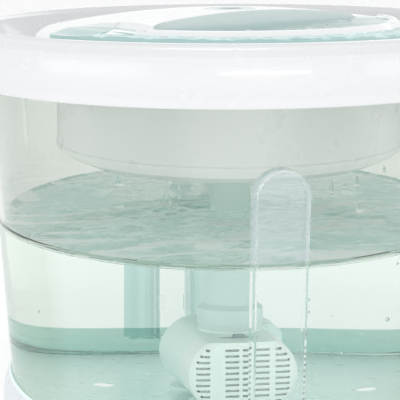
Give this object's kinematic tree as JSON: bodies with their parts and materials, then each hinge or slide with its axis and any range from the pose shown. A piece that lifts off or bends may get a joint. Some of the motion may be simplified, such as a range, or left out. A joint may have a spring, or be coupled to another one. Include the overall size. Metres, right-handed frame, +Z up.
{
  "type": "pet water fountain",
  "caption": "Round pet water fountain: clear tank on a low stand, white ring, hanging basin, domed drinking tray with a half-moon bowl, riser tube and slotted pump.",
  "frame": {"origin": "centre of the stand's foot plane", "axes": "+Z up along the riser tube, -Y towards the front, where the pump's slotted face and the sight channel are, +X to the right seen from the front"},
  "size_m": [0.1932, 0.1932, 0.159],
  "materials": {
    "stand_white": "glossy moulded plastic",
    "foot_rubber": "soft matt rubber",
    "tank_clear": "clear polished plastic",
    "channel_clear": "clear polished plastic",
    "guide_tint": "tinted clear plastic",
    "ring_white": "glossy moulded plastic",
    "basin_frost": "frosted translucent plastic",
    "cartridge_white": "satin moulded plastic",
    "felt_white": "needled felt",
    "carbon_dark": "loose grains in a fleece",
    "tray_white": "glossy moulded plastic",
    "spout_grey": "glossy moulded plastic",
    "riser_clear": "clear plastic tube",
    "silicone": "soft silicone",
    "pump_white": "satin moulded plastic",
    "cover_white": "satin moulded plastic",
    "sponge_grey": "open-cell foam",
    "slider_grey": "satin moulded plastic",
    "seal_black": "soft rubber",
    "impeller_blue": "satin moulded plastic",
    "magnet_dark": "ground ferrite",
    "shaft_white": "polished ceramic",
    "core_steel": "stacked sheet steel",
    "coil_copper": "enamelled wire",
    "gland_grey": "soft moulded rubber"
  },
  "bodies": {
    "stand": {"stand_shell": "stand_white", "stand_feet": "foot_rubber"},
    "tank": {"tank": "tank_clear", "sight_channel": "channel_clear", "lead_guide": "guide_tint"},
    "pump": {"pump_body": "pump_white", "outlet_sleeve": "silicone", "seal_ring": "seal_black", "volute_cover": "pump_white", "front_bush": "seal_black", "rear_bush": "seal_black", "rotor_shaft": "shaft_white", "stator_core": "core_steel", "stator_coils": "coil_copper", "suction_cups": "silicone", "lead_gland": "gland_grey"},
    "cover": {"intake_cover": "cover_white", "intake_sponge": "sponge_grey"},
    "slider": {"flow_slider": "slider_grey"},
    "rotor": {"impeller": "impeller_blue", "rotor_magnet": "magnet_dark"},
    "riser": {"riser_tube": "riser_clear"},
    "ring": {"ring": "ring_white"},
    "basin": {"basin": "basin_frost", "basin_floor": "basin_frost"},
    "cartridge": {"cartridge_cup": "cartridge_white", "cartridge_lid": "cartridge_white", "filter_felt": "felt_white", "filter_carbon": "carbon_dark"},
    "tray": {"drinking_tray": "tray_white"},
    "spout": {"spout_ring": "spout_grey"}
  },
  "joints": [
    {"name": "tank_lift", "type": "slide", "parent": "stand", "child": "tank", "axis": [0, 0, 1], "range_m": [0, 0.03]},
    {"name": "pump_lift", "type": "slide", "parent": "tank", "child": "pump", "axis": [0, 0, 1], "range_m": [0, 0.125]},
    {"name": "riser_pull", "type": "slide", "parent": "pump", "child": "riser", "axis": [0, 0, 1], "range_m": [0, 0.02]},
    {"name": "ring_lift", "type": "slide", "parent": "riser", "child": "ring", "axis": [0, 0, 1], "range_m": [0, 0.06]},
    {"name": "basin_lift", "type": "slide", "parent": "ring", "child": "basin", "axis": [0, 0, 1], "range_m": [0, 0.055]},
    {"name": "cartridge_lift", "type": "slide", "parent": "basin", "child": "cartridge", "axis": [0, 0, 1], "range_m": [0, 0.04]},
    {"name": "tray_lift", "type": "slide", "parent": "cartridge", "child": "tray", "axis": [0, 0, 1], "range_m": [0, 0.04]},
    {"name": "spout_pull", "type": "slide", "parent": "tray", "child": "spout", "axis": [0, 0, 1], "range_m": [0, 0.015]},
    {"name": "cover_pull", "type": "slide", "parent": "pump", "child": "cover", "axis": [0, -1, 0], "range_m": [0, 0.02]},
    {"name": "flow_slide", "type": "slide", "parent": "cover", "child": "slider", "axis": [1, 0, 0], "range_m": [-0.0032, 0.0032]},
    {"name": "impeller_spin", "type": "hinge", "parent": "pump", "child": "rotor", "pos_m": [0, 0, 0.036], "axis": [0, 1, 0], "continuous": true}
  ]
}
